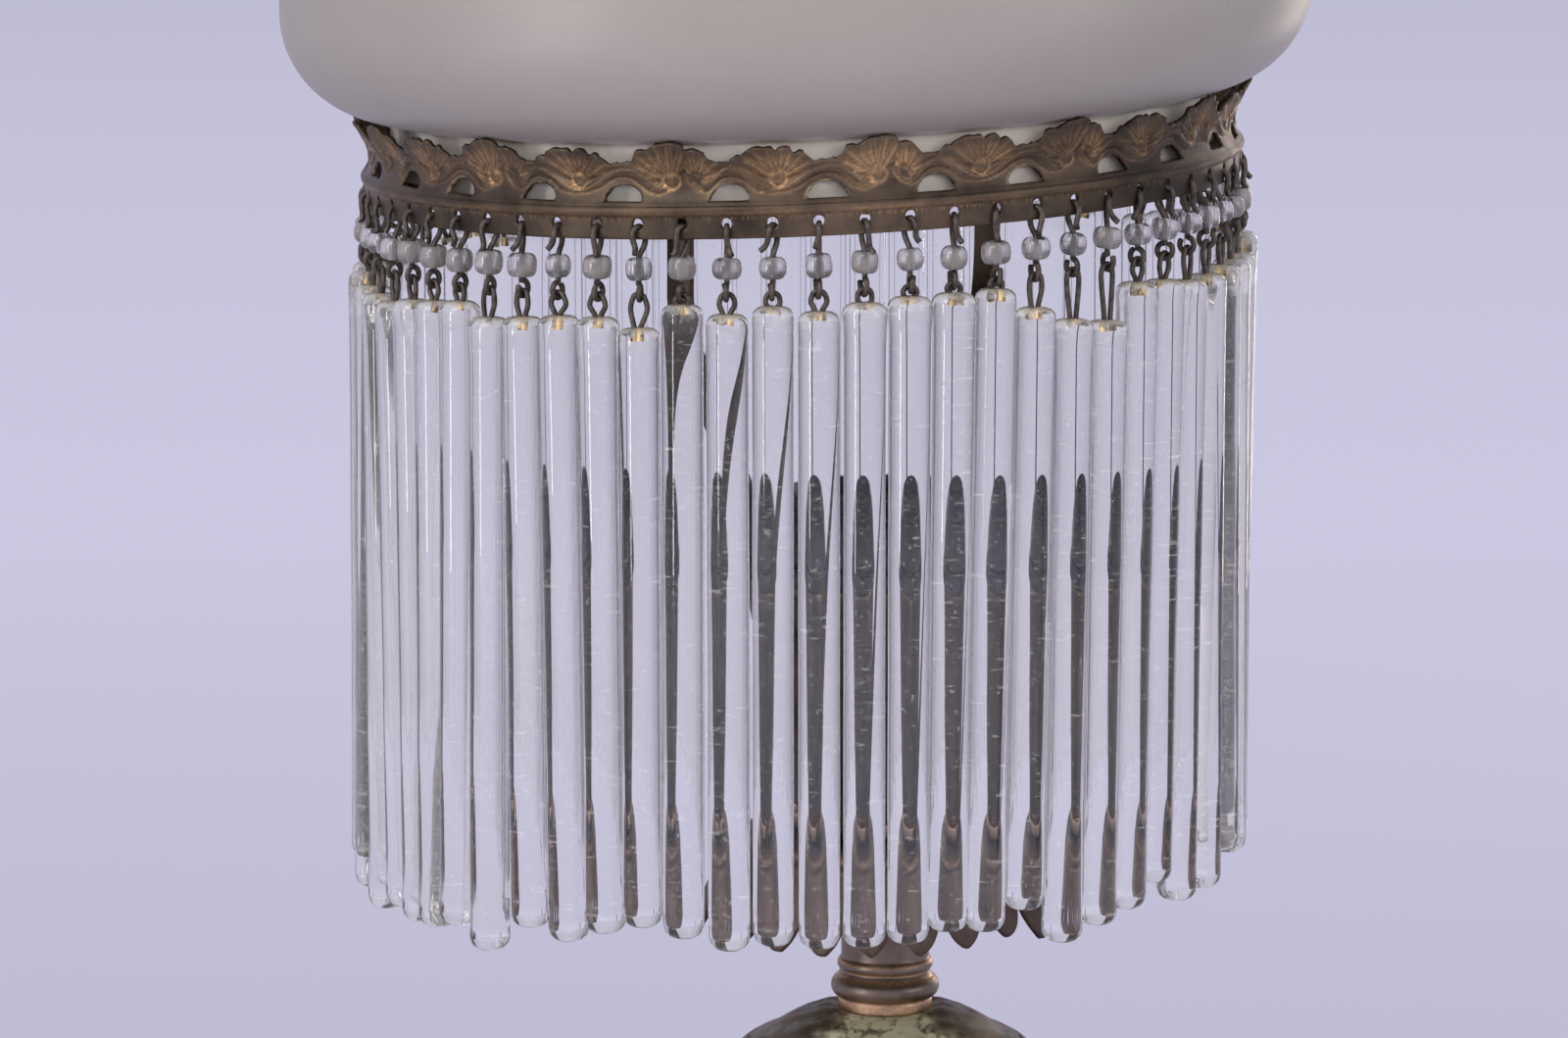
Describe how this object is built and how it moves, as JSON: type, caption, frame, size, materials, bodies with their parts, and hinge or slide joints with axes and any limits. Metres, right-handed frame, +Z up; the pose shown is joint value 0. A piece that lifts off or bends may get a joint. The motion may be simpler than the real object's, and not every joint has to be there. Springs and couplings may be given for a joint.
{
  "type": "table lamp",
  "caption": "Table lamp with a domed satin glass shade in a pierced brass gallery, a fringe of hanging glass rods, a two-armed harp, a screw lampholder and a cast base.",
  "frame": {"origin": "centre of the felt's underside, on the axis of the stem", "axes": "+Z up along the stem, -Y towards the front of the picture"},
  "size_m": [0.1647, 0.1647, 0.3473],
  "materials": {
    "felt": "dark green felt",
    "iron": "raw cast iron",
    "patinated_casting": "dark brown patina with verdigris in the hollows",
    "brown_brass": "brown patina, rubbed on the edges",
    "gallery_brass": "brown patina, coppery where it is rubbed",
    "bright_brass": "plain turned brass",
    "steel": "plain steel",
    "black_bakelite": "black, slightly dusty",
    "porcelain": "glazed porcelain",
    "rubber": "black rubber",
    "satin_glass": "acid-etched satin glass, greyish cream",
    "clear_glass": "clear fire-polished glass",
    "bead_glass": "clear glass, a little cloudy",
    "wire": "dark oxidised wire"
  },
  "bodies": {
    "stand": {"felt_pad": "felt", "tube_nut": "bright_brass", "tube_washer": "steel", "base_weight": "iron", "foot_casting": "patinated_casting", "cord_inlet_bush": "rubber", "body_casting": "patinated_casting", "threaded_tube": "bright_brass", "collar": "brown_brass", "petal_cup": "brown_brass", "arm_front": "brown_brass", "arm_back": "brown_brass", "arm_plate": "brown_brass", "holder_sleeve": "brown_brass", "sleeve_lock_nut": "bright_brass", "holder_cap": "black_bakelite", "lampholder_insert": "porcelain", "terminal_screws": "bright_brass", "centre_contact": "bright_brass", "lampholder_shell": "bright_brass", "lampholder_body": "black_bakelite", "lampholder_ring": "black_bakelite", "gallery_band": "gallery_brass", "shade_seat_ring": "gallery_brass", "arm_rivets": "bright_brass", "hooks": "wire", "beads": "bead_glass"},
    "shade": {"glass_shade": "satin_glass"},
    "fringe_01": {"rods_01": "clear_glass", "links_01": "wire"},
    "fringe_02": {"rods_02": "clear_glass", "links_02": "wire"},
    "fringe_03": {"rods_03": "clear_glass", "links_03": "wire"},
    "fringe_04": {"rods_04": "clear_glass", "links_04": "wire"},
    "fringe_05": {"rods_05": "clear_glass", "links_05": "wire"},
    "fringe_06": {"rods_06": "clear_glass", "links_06": "wire"},
    "fringe_07": {"rods_07": "clear_glass", "links_07": "wire"},
    "fringe_08": {"rods_08": "clear_glass", "links_08": "wire"},
    "fringe_09": {"rods_09": "clear_glass", "links_09": "wire"},
    "fringe_10": {"rods_10": "clear_glass", "links_10": "wire"},
    "fringe_11": {"rods_11": "clear_glass", "links_11": "wire"},
    "fringe_12": {"rods_12": "clear_glass", "links_12": "wire"},
    "fringe_13": {"rods_13": "clear_glass", "links_13": "wire"},
    "fringe_14": {"rods_14": "clear_glass", "links_14": "wire"},
    "fringe_15": {"rods_15": "clear_glass", "links_15": "wire"},
    "fringe_16": {"rods_16": "clear_glass", "links_16": "wire"}
  },
  "joints": [
    {"name": "shade_lift", "type": "slide", "parent": "stand", "child": "shade", "axis": [-0.0406, -0.0332, 0.9986], "range_m": [0, 0.12]},
    {"name": "fringe_01_swing", "type": "hinge", "parent": "stand", "child": "fringe_01", "pos_m": [-0.00123, -0.06857, 0.24523], "axis": [-0.9833, -0.1763, -0.0459], "range_deg": [0, 25]},
    {"name": "fringe_02_swing", "type": "hinge", "parent": "stand", "child": "fringe_02", "pos_m": [0.02406, -0.05865, 0.24658], "axis": [-0.8405, -0.5393, -0.0521], "range_deg": [0, 25]},
    {"name": "fringe_03_swing", "type": "hinge", "parent": "stand", "child": "fringe_03", "pos_m": [0.04361, -0.0398, 0.24801], "axis": [-0.5697, -0.8203, -0.0504], "range_deg": [0, 25]},
    {"name": "fringe_04_swing", "type": "hinge", "parent": "stand", "child": "fringe_04", "pos_m": [0.05445, -0.01489, 0.24927], "axis": [-0.2123, -0.9764, -0.0411], "range_deg": [0, 25]},
    {"name": "fringe_05_swing", "type": "hinge", "parent": "stand", "child": "fringe_05", "pos_m": [0.05493, 0.01229, 0.2502], "axis": [0.1775, -0.9838, -0.0254], "range_deg": [0, 25]},
    {"name": "fringe_06_swing", "type": "hinge", "parent": "stand", "child": "fringe_06", "pos_m": [0.04498, 0.03759, 0.25063], "axis": [0.5403, -0.8414, -0.006], "range_deg": [0, 25]},
    {"name": "fringe_07_swing", "type": "hinge", "parent": "stand", "child": "fringe_07", "pos_m": [0.02611, 0.05717, 0.25051], "axis": [0.8208, -0.571, 0.0144], "range_deg": [0, 25]},
    {"name": "fringe_08_swing", "type": "hinge", "parent": "stand", "child": "fringe_08", "pos_m": [0.0012, 0.06805, 0.24986], "axis": [0.9764, -0.2136, 0.0326], "range_deg": [0, 25]},
    {"name": "fringe_09_swing", "type": "hinge", "parent": "stand", "child": "fringe_09", "pos_m": [-0.02597, 0.06857, 0.24877], "axis": [0.9833, 0.1763, 0.0459], "range_deg": [0, 25]},
    {"name": "fringe_10_swing", "type": "hinge", "parent": "stand", "child": "fringe_10", "pos_m": [-0.05126, 0.05865, 0.24741], "axis": [0.8405, 0.5393, 0.0521], "range_deg": [0, 25]},
    {"name": "fringe_11_swing", "type": "hinge", "parent": "stand", "child": "fringe_11", "pos_m": [-0.07081, 0.0398, 0.24599], "axis": [0.5697, 0.8203, 0.0504], "range_deg": [0, 25]},
    {"name": "fringe_12_swing", "type": "hinge", "parent": "stand", "child": "fringe_12", "pos_m": [-0.08165, 0.01489, 0.24472], "axis": [0.2123, 0.9764, 0.0411], "range_deg": [0, 25]},
    {"name": "fringe_13_swing", "type": "hinge", "parent": "stand", "child": "fringe_13", "pos_m": [-0.08213, -0.01229, 0.2438], "axis": [-0.1775, 0.9838, 0.0254], "range_deg": [0, 25]},
    {"name": "fringe_14_swing", "type": "hinge", "parent": "stand", "child": "fringe_14", "pos_m": [-0.07218, -0.03759, 0.24337], "axis": [-0.5403, 0.8414, 0.006], "range_deg": [0, 25]},
    {"name": "fringe_15_swing", "type": "hinge", "parent": "stand", "child": "fringe_15", "pos_m": [-0.05331, -0.05717, 0.24349], "axis": [-0.8208, 0.571, -0.0144], "range_deg": [0, 25]},
    {"name": "fringe_16_swing", "type": "hinge", "parent": "stand", "child": "fringe_16", "pos_m": [-0.0284, -0.06805, 0.24414], "axis": [-0.9764, 0.2136, -0.0326], "range_deg": [0, 25]}
  ]
}
